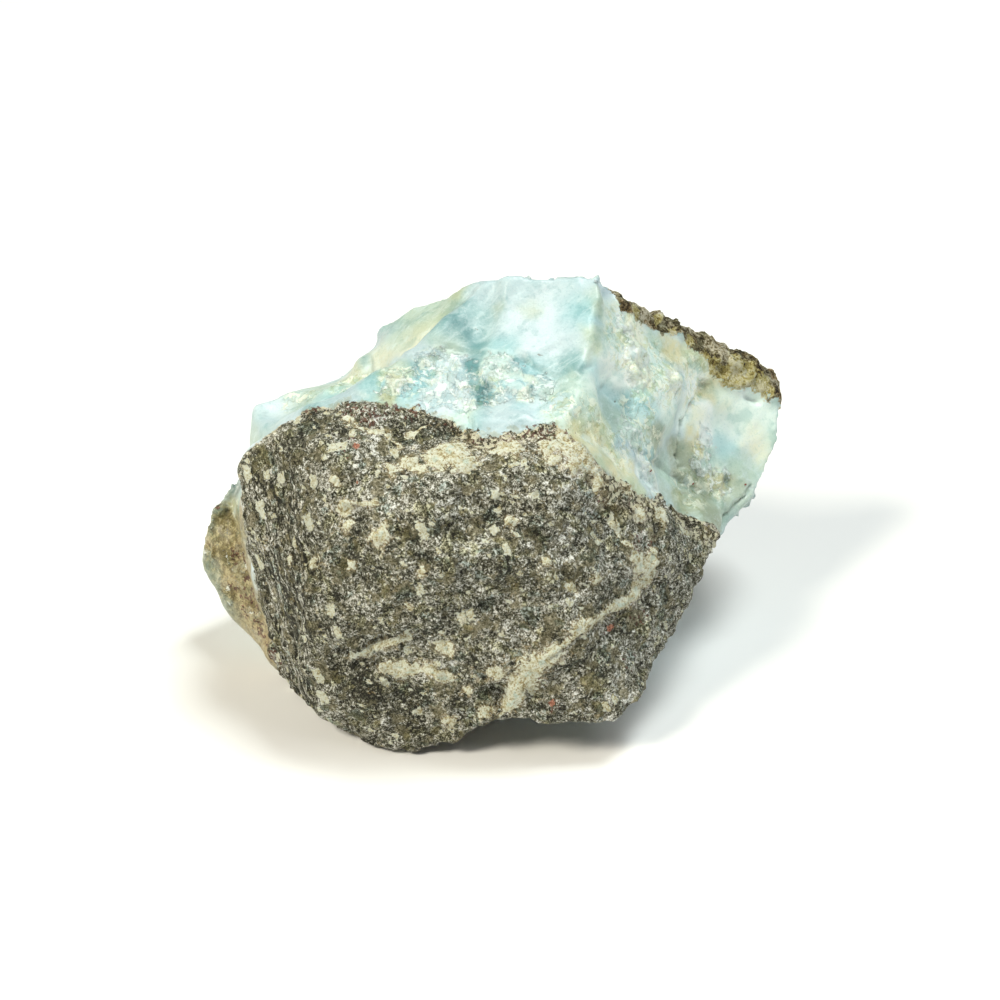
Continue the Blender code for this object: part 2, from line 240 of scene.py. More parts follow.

# Where the basalt is darker or lighter than its mean: x, y, spread and by how much. Most are
# its own patches. The dark spots just below the low ledge on the left are painted shadow.
TONE_AND_SHADOW_SPOTS = [
    (285, 500, 6, -0.95), (290, 580, 6, -0.95), (330, 660, 6, -0.8), (400, 700, 5, -0.9),
    (470, 690, 4, -0.3), (400, 580, 5, -0.15), (252, 470, 1.6, -0.4), (274, 448, 2, -0.5),
    (300, 432, 2.4, -1.5), (316, 420, 2.4, -1.4), (340, 424, 1.6, -0.6), (356, 430, 1.6, -0.7),
    (404, 428, 2.4, -1.9), (430, 424, 1.8, -1.9), (446, 432, 1.6, -1.9), (470, 462, 1.2, -1),
    (285, 490, 2, 0.5), (258, 512, 1.8, -0.8), (300, 512, 1.8, -0.6), (262, 548, 1.4, -0.6),
    (330, 475, 1.6, 0.5), (345, 512, 1.6, 0.8), (368, 500, 1.4, 0.5), (382, 534, 1.6, 0.9),
    (360, 540, 1.6, -0.4), (304, 560, 2, 0.5), (334, 588, 2.4, 0.2), (366, 568, 1.8, -0.8),
    (392, 562, 1.2, -0.6), (410, 556, 1.2, 0.5), (445, 564, 1.6, -1.3), (432, 536, 1.6, 0.3),
    (440, 490, 2.2, 0.4), (412, 502, 1.4, 0.3), (486, 514, 1.6, -1.1), (470, 500, 1.2, 0.2),
    (476, 546, 1.8, 0.5), (510, 572, 1.8, -0.9), (528, 532, 1.8, -0.9), (500, 478, 2.2, 0.5),
    (545, 562, 1.2, 0.7), (560, 486, 2, 0.5), (590, 504, 2, 0.4), (604, 520, 1.4, -0.9),
    (576, 588, 1.6, 0.4), (596, 574, 1.2, 0.9), (594, 600, 2.4, -0.8), (560, 606, 1.4, -0.4),
    (620, 560, 1.4, -0.3), (638, 548, 1.6, -0.6), (664, 588, 1.8, -0.6), (700, 532, 1.8, -0.7),
    (676, 516, 1.8, 0.5), (650, 520, 2, 0.6), (380, 622, 2.6, -1), (404, 618, 1.8, -0.9),
    (428, 632, 1.6, -0.9), (450, 600, 2.4, 0.3), (500, 634, 2.4, 0.3), (536, 628, 2, 0.4),
    (340, 610, 1.8, -0.3), (262, 604, 1.8, -0.7), (286, 600, 1.8, 0.3), (330, 664, 2.2, -0.3),
    (366, 676, 2, -0.9), (380, 690, 1.8, -0.8), (412, 692, 2, -0.9), (400, 656, 1.4, -0.8),
    (470, 650, 1.6, 0.3), (456, 700, 1.6, -0.5), (340, 704, 2.2, -0.6), (410, 716, 1.6, -0.8),
    (384, 712, 1.2, 0.5), (452, 722, 1.6, 0.4), (500, 697, 1.5, -1.4), (552, 702, 1.8, -1.2),
    (584, 650, 2.4, -0.4), (604, 660, 2.6, -0.5), (632, 640, 2.6, -0.5), (570, 680, 1.6, 0.4),
    (600, 704, 1.6, 0.2), (550, 446, 3, 1.2), (580, 462, 3, 1.4), (602, 484, 2, 0.9),
    (560, 470, 2, 0.9), (498, 446, 1.8, 1.2), (520, 462, 2, 0.5), (360, 462, 1.8, 0.4),
    (648, 560, 2, 0.9), (630, 600, 1.8, 0.7),
]

# Pale mineral on the basalt: x, y, and how far it spreads
PALE_SPOTS = [
    (392, 470, 1), (410, 466, 1.5), (432, 458, 2), (452, 452, 2.2), (466, 462, 1.4),
    (498, 448, 1.2), (512, 452, 1.4), (548, 448, 1.6), (568, 446, 1.8), (586, 458, 1.4),
    (572, 468, 1), (612, 470, 1), (630, 488, 1), (660, 516, 1.2), (640, 512, 1), (634, 556, 1.2),
    (640, 566, 1.6), (634, 590, 1.5), (575, 628, 1.1), (498, 670, 1.6), (532, 662, 2.2),
    (524, 680, 2), (552, 652, 1.5), (345, 505, 0.9), (384, 532, 1), (556, 462, 1.2),
    (580, 448, 1.4), (596, 470, 1.2), (600, 484, 0.9), (454, 462, 1.4), (420, 470, 1),
    (364, 656, 1.3), (408, 638, 0.9), (396, 646, 0.9), (402, 672, 1.4), (428, 668, 1.2),
    (446, 676, 1.1), (452, 720, 1.1), (446, 648, 1.2), (343, 512, 0.8), (346, 524, 0.8),
    (380, 538, 1.2), (313, 562, 0.9), (292, 560, 0.7), (547, 562, 0.8), (596, 578, 0.9),
    (572, 588, 0.8), (510, 522, 0.9), (336, 480, 0.9), (408, 604, 0.6), (418, 572, 0.8),
    (374, 504, 0.7), (470, 690, 0.8), (474, 678, 0.7), (486, 712, 1.2), (350, 564, 0.7),
]

# Pale seams on the basalt: points of the front view, and half the width
PALE_SEAMS = [
    ([(650, 552), (646, 576), (634, 594), (606, 610), (576, 628)], 0.9),
    ([(580, 624), (560, 642), (548, 650)], 0.5),
    ([(548, 650), (536, 660), (524, 672), (518, 690), (510, 704)], 1.15),
    ([(350, 658), (372, 652), (394, 646), (410, 638)], 0.65),
    ([(384, 668), (404, 672), (428, 668), (448, 678)], 0.6),
    ([(508, 704), (504, 714), (492, 724)], 0.3),
    ([(372, 432), (384, 436), (398, 446)], 0.5),
    ([(408, 430), (416, 432), (426, 430)], 0.35),
    ([(346, 418), (354, 424), (366, 430)], 0.35),
    ([(588, 476), (600, 496), (612, 502)], 0.14),
    ([(618, 520), (622, 540), (634, 552)], 0.3),
    ([(355, 500), (366, 502), (374, 506)], 0.25),
    ([(562, 436), (566, 452), (586, 470)], 0.5),
]

# Red-brown grains: x, y and how far they spread
RUST_SPOTS = [
    (348, 408, 1.6), (362, 412, 1.8), (372, 414, 1.8), (392, 408, 1.4), (414, 412, 1.4),
    (446, 420, 1.2), (350, 446, 1.6), (312, 410, 1.2), (510, 440, 1.2), (530, 436, 1.8),
    (548, 434, 1.6), (570, 438, 1.2), (476, 442, 1), (602, 500, 0.8), (630, 504, 0.7),
    (636, 540, 1.6), (650, 542, 1.2), (612, 628, 0.8), (540, 678, 0.7), (552, 704, 0.9),
    (630, 664, 1.4), (640, 618, 1.4), (216, 508, 0.9), (240, 552, 1.6), (246, 560, 1.8),
    (248, 576, 2.2), (252, 594, 2.2), (250, 614, 2), (262, 632, 2), (272, 648, 1.8),
    (282, 664, 1.4), (236, 586, 1.2), (242, 496, 1), (694, 483, 0.4), (746, 485, 0.35),
    (650, 471, 0.35),
]

# Small red grains that stand alone: x, y and radius
RED_GRAINS = [
    (356, 447, 0.55), (612, 627, 0.55), (694, 483, 0.28), (746, 485, 0.25), (650, 471, 0.25),
    (552, 704, 0.5), (358, 482, 0.35),
]

# Mustard and pale zones of the crust: x, y and how far they spread
MUSTARD_SPOTS = [
    (644, 310, 1.2), (672, 334, 0.9), (690, 342, 0.9), (712, 366, 1.6), (724, 374, 2),
    (740, 380, 2.4), (756, 386, 2.2), (766, 390, 1.4), (734, 362, 1.6), (750, 370, 1.6),
    (704, 356, 1.2), (656, 320, 1), (764, 378, 1.4),
]

# Grooves and sharp edges: points of the front view, half width, and height in the middle. A
# groove's height is below zero.
FOLDS = [
    ([(503, 524), (518, 530), (534, 532)], 0.7, -0.6),
    ([(494, 690), (500, 692), (502, 702)], 1.6, -1.8),
    ([(575, 377), (584, 370), (592, 366)], 0.5, -0.4),
    ([(473, 283), (460, 305), (446, 330), (435, 348), (416, 356), (374, 371)], 4.0, 0.8),
    ([(525, 354), (529, 362)], 0.6, -0.5),
    ([(722, 480), (716, 494), (722, 506)], 0.6, 0.5),
    ([(606, 410), (612, 420), (626, 422)], 0.5, 0.4),
    ([(718, 366), (722, 372)], 0.8, -0.9),
    ([(594, 275), (601, 280), (606, 292)], 2.2, -0.9),
    ([(750, 396), (760, 400)], 0.9, -0.9),
    ([(600, 440), (610, 456), (618, 470)], 0.6, -0.4),
    ([(582, 474), (590, 484), (604, 500)], 0.4, -0.35),
    ([(690, 570), (664, 574), (642, 572)], 0.5, -0.4),
    ([(693, 402), (684, 420), (679, 438), (677, 456)], 0.55, -1.1),
    ([(247, 462), (253, 536), (290, 580), (312, 610), (324, 706)], 5.0, 0.9),
    ([(714, 528), (641, 566), (573, 630), (508, 684)], 4.5, 0.7),
]

# Steps, where the surface drops on one side of a line: its points in the front view, how far
# the drop reaches, and its depth. Seen along the line from its first point, the right side drops.
STEPS = [
    ([(678, 466), (679, 440), (683, 420), (694, 402), (700, 376)], 3.0, 1.1),
    ([(412, 627), (396, 636), (376, 640), (355, 648), (328, 647)], 6.0, -1.3),
    ([(376, 666), (366, 662), (350, 664)], 3.0, -0.8),
    ([(474, 430), (468, 412), (470, 398)], 3.0, -0.7),
    ([(536, 416), (546, 402), (562, 382), (575, 377)], 4.0, -0.7),
    ([(716, 532), (722, 522), (735, 504), (753, 484)], 1.5, 0.9),
    ([(374, 371), (350, 378), (322, 390)], 3.0, 0.7),
    ([(312, 392), (340, 388), (366, 400)], 2.5, 0.5),
    (
        [(560, 374), (536, 364), (516, 352), (496, 350), (470, 352), (452, 348), (436, 358),
         (420, 366)],
        4.0, -0.45,
    ),
    ([(600, 392), (612, 404), (630, 412)], 3.5, -0.8),
    ([(632, 440), (644, 452), (660, 462), (676, 474), (700, 488)], 2.5, 0.6),
    ([(588, 478), (602, 500), (606, 540)], 3.0, 0.5),
    ([(330, 406), (372, 424), (420, 436), (462, 428)], 2.5, 0.6),
    ([(440, 520), (500, 516), (556, 540)], 3.5, 0.6),
]

# Colour ramps: where each stop stands, and its display colour
BASALT_STOPS = [
    (0.04, (36, 35, 28)), (0.20, (67, 67, 53)), (0.34, (98, 98, 80)), (0.48, (132, 130, 114)),
    (0.62, (166, 165, 152)), (0.76, (206, 206, 196)), (0.92, (242, 243, 238)),
]
CRUST_STOPS = [
    (0.28, (38, 32, 23)), (0.38, (82, 72, 49)), (0.46, (138, 128, 95)), (0.53, (188, 178, 145)),
    (0.61, (230, 224, 202)),
]
MUSTARD_STOPS = [
    (0.26, (96, 80, 44)), (0.38, (176, 160, 92)), (0.48, (214, 204, 138)), (0.60, (238, 234, 200)),
]
CHIP_STOPS = [
    (0.00, (118, 156, 165)), (0.22, (146, 183, 190)), (0.40, (174, 202, 206)),
    (0.60, (196, 216, 214)), (0.80, (218, 231, 229)), (1.00, (238, 244, 241)),
]
PALE_STOPS = [
    (0.32, (142, 126, 84)), (0.40, (188, 176, 132)), (0.49, (216, 213, 180)),
    (0.60, (236, 240, 224)),
]
RUST_STOPS = [
    (0.36, (44, 28, 24)), (0.50, (86, 54, 46)), (0.60, (128, 88, 72)), (0.70, (184, 152, 122)),
]
RED_STOPS = [
    (0.40, (120, 60, 46)), (0.60, (206, 150, 124)),
]

# Colours of single markings, as display colours
INKS = {
    "dull green": (234, 232, 186), "dull brown": (228, 214, 170), "dull blue": (172, 196, 196),
    "crystal rim": (40, 38, 30), "contact brown": (228, 210, 186), "bright grain": (230, 226, 198),
    "pale blue": (200, 222, 212), "haze": (196, 180, 142), "pale border": (170, 146, 98),
    "shade": (168, 203, 204), "veil": (212, 229, 231), "olive stain": (232, 226, 184),
    "blue stain": (190, 220, 220), "milk": (236, 240, 222), "brown curl": (168, 154, 118),
    "crumble": (230, 240, 238), "pale earth": (202, 192, 150), "dark earth": (98, 84, 58),
    "flake": (236, 244, 240), "dot": (104, 90, 74), "speck": (228, 241, 241),
    "contact stain": (214, 196, 158), "red grain": (128, 62, 48),
    "rusty crust": (232, 196, 146), "dull crust": (176, 184, 166),
}

# Pale crystals of the basalt: size of their cells, seed, widest radius, how rare, and their form
CRYSTALS = [(2.3, 3.0, 0.36, 0.72, "CHEBYCHEV"), (1.3, 7.0, 0.46, 0.68, "MANHATTAN")]

# What the material reads from the skin
FIELDS = (
    "vein", "crust", "grainy", "pale", "rust", "red",
    "crushed", "mottled", "mustard", "streaked", "tone", "tint",
)

# Soft lights: name, place and side of the square in metres, and colour
LIGHTS = [
    ("key", (-0.70, -0.48, 0.85), 0.32, (1.0, 0.94, 0.79)),
    ("top", (0.32, 0.16, 1.14), 0.40, (0.94, 1.0, 0.97)),
    ("side", (0.62, -0.29, 0.98), 0.50, (1.0, 1.0, 1.0)),
]

# The skin: distance between its points, rounds of smoothing, how near its doubles lie in metres,
# and the height over which the relief comes in above the flat foot
SKIN_STEP = 0.46
SKIN_SMOOTHING = 8
DOUBLES = 1e-6
FOOT_FADE = 1.2

# Cells along each side of the lattice after which a noise repeats
LATTICE = 16

# How much further a tint reaches than its spot says, and the pull of the ground between tints
TINT_REACH = 1.15
GROUND_PULL = 0.06

# The steepness of a pale seam's sides
SEAM_FALL = 0.7

# The way the larimar's fibres run
FIBRE_WAY = (-0.80, -0.50, -0.33)

# Turn that brings the way of the left face's streaks onto the X axis
LEFT_TURN = (0.0, math.radians(-69.8), math.radians(27.4))

# Shortest squared length of a line's run that is divided by
TINY = 1e-9


def linear(red, green, blue):
    """The scene's linear colour for a display colour whose channels run from 0 to 255."""
    channels = np.array((red, green, blue)) / 255
    low = channels / 12.92
    high = ((channels + 0.055) / 1.055) ** 2.4
    return tuple(float(value) for value in np.where(channels <= 0.04045, low, high))


# Noise


def value_noise(points, size, seed):
    """Smooth noise from -1 to 1: random values at lattice corners, eased between them."""
    lattice = np.random.default_rng(seed).uniform(-1, 1, (LATTICE,) * 3)
    cell, place = np.divmod(points / size, 1)
    ease = place * place * (3 - 2 * place)
    total = np.zeros(len(points))
    for corner in itertools.product((0, 1), repeat=3):
        index = (cell.astype(int) + corner) % LATTICE
        share = np.where(corner, ease, 1 - ease).prod(axis=1)
        total += share * lattice[tuple(index.T)]
    return total


def layers(points, *parts):
    """The sum of several noises, each (height, size, seed)."""
    return sum(height * value_noise(points, size, seed) for height, size, seed in parts)


def drift(points, size, seed):
    """Three noises side by side, which push points about."""
    return np.stack([value_noise(points, size, seed + axis) for axis in range(3)], axis=1)


def bent(points, *parts):
    """The points pushed about by noises, each (push, size, seed), so that an edge drawn over
    them comes out ragged."""
    moved = points
    for push, size, seed in parts:
        moved = moved + push * drift(points, size, seed)
    return moved


def near_cells(points, size):
    """The 27 lattice cells in and around each point's own, one after another."""
    cell = np.floor(points / size).astype(int)
    for step in itertools.product((-1, 0, 1), repeat=3):
        yield cell + step


def scallops(points, size, seed):
    """0 in the middle of each shallow dish, near 1 on the sharp ridges where dishes meet: the
    squared distance to the nearest of the random middles, of which each cell has one."""
    jitter = np.random.default_rng(seed).random((LATTICE, LATTICE, LATTICE, 3))
    nearest = np.full(len(points), np.inf)
    for cell in near_cells(points, size):
        middle = cell + jitter[tuple((cell % LATTICE).T)]
        nearest = np.minimum(nearest, ((points / size - middle) ** 2).sum(axis=1))
    return nearest


def facets(points, size, seed, tilt):
    """Flat chips at all angles, from -1 to 1: each cell of random middles is one plane with a
    slope of its own, so neighbours meet in steps and edges."""
    random = np.random.default_rng(seed)
    jitter = random.random((LATTICE, LATTICE, LATTICE, 3))
    slopes = random.uniform(-tilt, tilt, (LATTICE, LATTICE, LATTICE, 3))
    lifts = random.uniform(-1, 1, (LATTICE,) * 3)
    nearest = np.full(len(points), np.inf)
    height = np.zeros(len(points))
    for cell in near_cells(points, size):
        index = tuple((cell % LATTICE).T)
        away = points / size - cell - jitter[index]
        distance = (away**2).sum(axis=1)
        closer = distance < nearest
        nearest = np.where(closer, distance, nearest)
        plane = (away * slopes[index]).sum(axis=1) + 0.5 * lifts[index]
        height = np.where(closer, plane, height)
    return height


def ridges(points, size, seed):
    """Sharp crests with rounded hollows between them, from -1 to 1: noise folded at zero."""
    return 1 - 2 * np.abs(value_noise(points, size, seed)) ** 0.8


def along_fibres(points, length):
    """The points squeezed along the fibres' way, so that noise on them is drawn out there."""
    way = np.array(FIBRE_WAY) / np.linalg.norm(FIBRE_WAY)
    along = points @ way
    return points - (1 - 1 / length) * along[:, None] * way


def smooth_step(values, low, high):
    """0 below low, 1 above high, and an eased slope between them."""
    share = np.clip((values - low) / (high - low), 0, 1)
    return share * share * (3 - 2 * share)


# The front view


def view_axes():
    """The front view's forward, right and up directions."""
    forward = Vector((0, math.cos(VIEW_ELEVATION), -math.sin(VIEW_ELEVATION)))
    right = Vector((1, 0, 0))
    return forward, right, right.cross(forward)


def sight_caster(node):
    """A function that carries a point (x, y) of the front view along its line of sight onto the
    node, and returns where it meets it, in mm. A miss takes the nearest point of the node."""
    skin = BVHTree.FromPolygons(
        [vertex.co[:] for vertex in node.data.vertices],
        [face.vertices[:] for face in node.data.polygons],
    )
    forward, right, up = view_axes()
    eye = VIEW_TARGET - forward * VIEW_DISTANCE
    reach = VIEW_LENS / SENSOR * FRAME_SIDE
    middle = FRAME_SIDE / 2

    def carry(x, y):
        way = forward + right * (x - middle) / reach + up * (middle - y) / reach
        way.normalize()
        spot = skin.ray_cast(eye, way)[0]
        if spot is None:
            near = eye + way * (VIEW_TARGET - eye).dot(way)
            spot = skin.find_nearest(near)[0]
        return np.array(spot) / MM

    return carry


# Fields over the skin


def near_spot(points, spot, spread):
    """1 at the spot, fading to 0 away from it as a bell curve of that spread."""
    return np.exp(-((points - spot) ** 2).sum(axis=1) / spread**2)


def spots_field(points, spots, carry):
    """The strongest of several spots, each (x, y, spread)."""
    field = np.zeros(len(points))
    for x, y, spread in spots:
        field = np.maximum(field, near_spot(points, carry(x, y), spread))
    return field


def runs_of(points, knots):
    """Each straight run of the line through the knots, and how the points lie from the nearest
    place on it."""
    for start, end in zip(knots[:-1], knots[1:]):
        run = end - start
        share = np.clip((points - start) @ run / max(run @ run, TINY), 0, 1)
        yield run, points - start - share[:, None] * run


def line_distance(points, knots):
    """Distance of each point from a line through the knots."""
    nearest = np.full(len(points), np.inf)
    for _, away in runs_of(points, knots):
        nearest = np.minimum(nearest, (away**2).sum(axis=1))
    return np.sqrt(nearest)


def line_side(points, knots):
    """Distance from a line through the knots, below zero on its left as the front view shows it.
    A point past either end counts as far away."""
    forward = np.array(view_axes()[0])
    nearest = np.full(len(points), np.inf)
    side = np.full(len(points), np.inf)
    for run, away in runs_of(points, knots):
        distance = np.linalg.norm(away, axis=1)
        signed = np.sign(away @ np.cross(run, -forward)) * distance
        closer = distance < nearest
        nearest = np.where(closer, distance, nearest)
        side = np.where(closer, signed, side)
    first = (points - knots[0]) @ (knots[1] - knots[0]) < 0
    last = (points - knots[-1]) @ (knots[-1] - knots[-2]) > 0
    return np.where(first | last, np.inf, side)


def behind_sheet(points, line, before, after, carry):
    """How far behind an upright sheet each point lies. In plan the sheet follows the line's
    points, carried onto the stone, with the plan points given for the parts out of view."""
    plan = [tuple(carry(x, y)[:2]) for x, y in line]
    across, back = zip(*sorted(before + plan + after))
    return points[:, 1] - np.interp(points[:, 0], across, back)


def tint_field(points, carry, crisp):
    """The larimar's colour at each point: the named tints, each as strong as it is near, over a
    ground that drifts between ice, mint and teal. On the right slope and the wing the snow and
    frost tints add painted light. Where crisp is 1, near tints win by so much that they meet in
    edges."""
    colours = {name: np.array(linear(*tint)) for name, tint in TINTS.items()}
    mood = layers(points, (0.5, 9, 31), (0.3, 4, 32))
    ground = colours["ice"] * np.ones((len(points), 1))
    for name, seed, low in (("teal", 33, 0.15), ("mint", 34, 0.1), ("white", 35, 0.2)):
        share = smooth_step(value_noise(points, 8, seed) + 0.3 * mood, low, low + 0.5)
        ground += share[:, None] * (colours[name] - ground)
    power = 1 + 5 * crisp
    weight = GROUND_PULL**power
    total = ground * weight[:, None]
    for name, spots in TINT_SPOTS.items():
        for x, y, spread in spots:
            share = near_spot(points, carry(x, y), spread * TINT_REACH) ** power
            total += share[:, None] * colours[name]
            weight += share
    return total / weight[:, None]


class Skin:
    """The stone's skin as arrays, with the fields that its relief and its material read."""

    def __init__(self, mesh, carry):
        self.points = read_vectors(mesh, "vertices", "co") / MM
        self.normals = read_vectors(mesh, "vertex_normals", "vector")
        self.carry = carry
        self.ragged = bent(self.points, (0.5, 2.2, 11), (0.25, 0.9, 14))
        self.veined = self.ragged + 1.4 * drift(self.points, 6, 17)
        away = self.normals @ np.array(view_axes()[0])
        self.hidden = smooth_step(away + 0.1 * value_noise(self.points, 5, 18), 0.0, 0.25)
        self.divide()
        self.mark_larimar()
        self.mark_basalt()
        self.mark_crust()

    def knots(self, line):
        """The points of a line in the front view, carried onto the stone."""
        return [self.carry(x, y) for x, y in line]

    def out_of_view(self, size, seed, low, high):
        """Patches of a marking where the front view doesn't show the stone."""
        patches = smooth_step(value_noise(self.points, size, seed), low, high)
        return 0.8 * (patches * self.hidden)

    def divide(self):
        """How far each point lies behind the basalt's wall, and behind the crust's edge."""
        points = self.points
        edge = behind_sheet(points, CONTACT_LINE, CONTACT_LEFT, CONTACT_RIGHT, self.carry)
        self.vein = edge + 0.5 * value_noise(points, 2.5, 21) + 0.3 * value_noise(points, 1.1, 22)
        crust = behind_sheet(points, CRUST_LINE, CRUST_LEFT, CRUST_RIGHT, self.carry)
        wander = 1.0 + 1.5 * smooth_step(points[:, 1], 16, 22)
        self.crust = crust + wander * (0.5 * value_noise(points, 3, 23))
        self.crust += 0.3 * value_noise(points, 1.2, 24)

    def mark_larimar(self):
        """Where the larimar is crushed or mottled, and its tint."""
        points = self.points
        crushed = spots_field(self.ragged, CRUSHED_SPOTS, self.carry)
        self.crushed = np.maximum(crushed, self.out_of_view(7, 41, 0.15, 0.5))
        crisp = 0.8 * smooth_step(self.crushed, 0.15, 0.5)
        shifted = self.ragged + 0.4 * (self.veined - self.ragged) + 0.5 * drift(points, 1.3, 26)
        self.tint = tint_field(shifted, self.carry, crisp)
        mottled = smooth_step(spots_field(points, MOTTLED_SPOTS, self.carry), 0.1, 0.5)
        self.mottled = np.maximum(mottled, 0.8 * self.hidden)

    def mark_basalt(self):
        """Where the basalt is streaked, pale, grainy, rusty, red, darker or lighter. The darker
        includes painted shadow below the low ledge on the left.
        """
        points = self.points
        left_face = smooth_step(-self.normals[:, 0], 0.45, 0.7)
        self.streaked = left_face * smooth_step(-self.vein, 0.0, 2.0)
        self.pale = spots_field(self.ragged, PALE_SPOTS, self.carry)
        for line, half_width in PALE_SEAMS:
            away = line_distance(self.ragged, self.knots(line))
            self.pale = np.maximum(self.pale, np.exp(-((away / half_width) ** 2) * SEAM_FALL))
        width = 1.0 + 2.4 * smooth_step(points[:, 0], -8, -2)
        grainy = self.vein + width + 0.8 * value_noise(points, 2.5, 27)
        self.grainy = smooth_step(grainy, 0.0, 1.6)
        self.rust = spots_field(self.ragged, RUST_SPOTS, self.carry)
        self.red = spots_field(bent(points, (0.25, 0.8, 51)), RED_GRAINS, self.carry)
        # the basalt's own darker and lighter patches, with painted shadow below the low ledge
        self.tone = np.zeros(len(points))
        for x, y, spread, amount in TONE_AND_SHADOW_SPOTS:
            self.tone += amount * near_spot(self.veined, self.carry(x, y), spread)

    def mark_crust(self):
        """Where the crust is mustard and pale."""
        mustard = spots_field(self.ragged, MUSTARD_SPOTS, self.carry)
        self.mustard = np.maximum(mustard, self.out_of_view(8, 43, 0.1, 0.6))

    def basalt_relief(self):
        """Broken lumps, dishes and chips, with the pale mineral standing out."""
        points = self.points
        height = layers(points, (0.45, 4.2, 61), (0.26, 1.9, 62), (0.15, 0.95, 63))
        height += 0.55 * (scallops(points, 5.5, 64) - 0.3)
        height += 0.36 * facets(bent(points, (0.8, 2.0, 67)), 3.6, 66, 1.0)
        height += 0.26 * facets(bent(points, (0.4, 1.0, 68)), 1.5, 65, 1.2)
        return height + 0.25 * smooth_step(self.pale, 0.35, 0.8)

    def larimar_relief(self):
        """Smooth dishes drawn out along the fibres, and sharp crumbs where it is crushed."""
        points = self.points
        fibre = along_fibres(points, 5)
        smooth = 0.25 * value_noise(points, 5.5, 71) + 0.12 * value_noise(fibre, 1.2, 72)
        smooth += 0.45 * (scallops(fibre, 4.0, 73) - 0.3)
        broken = 0.50 * ridges(points, 3.2, 74) + 0.35 * facets(points, 2.2, 75, 1.5)
        broken += 0.22 * ridges(points, 1.5, 76) + 0.10 * value_noise(points, 0.9, 77)
        return smooth + smooth_step(self.crushed, 0.25, 0.7) * (broken - 0.6 * smooth)

    def crust_relief(self):
        """Crumbs of two sizes, with larger chips towards the back."""
        points = self.points
        height = layers(points, (0.45, 2.2, 81), (0.35, 1.1, 82))
        height += 0.30 * facets(points, 1.6, 83, 1.4)
        back = smooth_step(points[:, 1], 18, 24)
        return height + 0.6 * facets(bent(points, (1.2, 3.0, 84)), 6.0, 85, 0.8) * back

    def relief(self):
        """The height of each mineral's own relief above the plain skin, in mm."""
        basalt = self.basalt_relief()
        height = basalt + smooth_step(self.vein, -0.4, 0.4) * (self.larimar_relief() - basalt)
        height += smooth_step(self.crust, -0.3, 0.5) * (self.crust_relief() + 0.3 - height)
        ragged = bent(self.points, (0.35, 1.6, 91), (0.5, 3.5, 94))
        for line, half_width, top in FOLDS:
            away = line_distance(ragged, self.knots(line))
            height += top * np.clip(1 - away / half_width, 0, 1)
        for line, reach, depth in STEPS:
            side = line_side(ragged, self.knots(line)) * np.sign(depth)
            drop = smooth_step(side, -0.25, 0.25) * np.clip(1 - side / reach, 0, 1)
            height -= abs(depth) * drop
        return height

    def raised(self):
        """The points moved out along their normals by the relief, inside the CAD box, with the
        flat foot left as it is."""
        height = self.relief() * smooth_step(self.points[:, 2], 0.0, FOOT_FADE)
        moved = self.points + self.normals * height[:, None]
        return np.clip(moved, np.array(cad_low) / MM, np.array(cad_high) / MM)


def read_vectors(mesh, kind, name):
    """One vector for each item of that kind in the mesh, as rows of an array."""
    items = getattr(mesh, kind)
    vectors = np.empty(len(items) * 3, np.float32)
    items.foreach_get(name, vectors)
    return vectors.reshape(-1, 3).astype(float)


def fine_skin(node, step):
    """A finer mesh of the node's surface: its doubles are merged, it is remeshed in small even
    cells and then eased, so that the solid's flat triangles no longer show."""
    mesh = node.data.copy()
    work = bpy.data.objects.new("fine_skin", mesh)
    bpy.context.scene.collection.objects.link(work)
    weld = work.modifiers.new("Merge", "WELD")
    weld.merge_threshold = DOUBLES
    remesh = work.modifiers.new("Even cells", "REMESH")
    remesh.mode = "VOXEL"
    remesh.voxel_size = step * MM
    ease = work.modifiers.new("Ease", "SMOOTH")
    ease.factor = 0.5
    ease.iterations = SKIN_SMOOTHING
    graph = bpy.context.evaluated_depsgraph_get()
    fine = bpy.data.meshes.new_from_object(work.evaluated_get(graph))
    bpy.data.objects.remove(work)
    bpy.data.meshes.remove(mesh)
    return fine


def store(mesh, name, values):
    """Keeps one number or one colour for each point of the mesh, for the material to read."""
    if values.ndim == 1:
        layer = mesh.attributes.new(name, "FLOAT", "POINT")
        layer.data.foreach_set("value", values.astype(np.float32))
        return
    colours = np.ones((len(values), 4), np.float32)
    colours[:, :3] = values
    layer = mesh.attributes.new(name, "FLOAT_COLOR", "POINT")
    layer.data.foreach_set("color", colours.ravel())


# Materials


class Tone:
    """A socket in a material. Ordinary arithmetic on it adds Math nodes."""

    def __init__(self, recipe, socket):
        self.recipe = recipe
        self.socket = socket

    def __add__(self, other):
        return self.recipe.maths("ADD", self, other)

    def __radd__(self, other):
        return self.recipe.maths("ADD", other, self)

    def __sub__(self, other):
        return self.recipe.maths("SUBTRACT", self, other)

    def __rsub__(self, other):
        return self.recipe.maths("SUBTRACT", other, self)

    def __mul__(self, other):
        return self.recipe.maths("MULTIPLY", self, other)

    def most(self, other):
        return self.recipe.maths("MAXIMUM", self, other)

    def rise(self, low, high):
        """0 below low, 1 above high, and an eased slope between them."""
        settings = {"interpolation_type": "SMOOTHSTEP"}
        return self.recipe.node(
            "MapRange", settings, {"Value": self, "From Min": low, "From Max": high}
        )


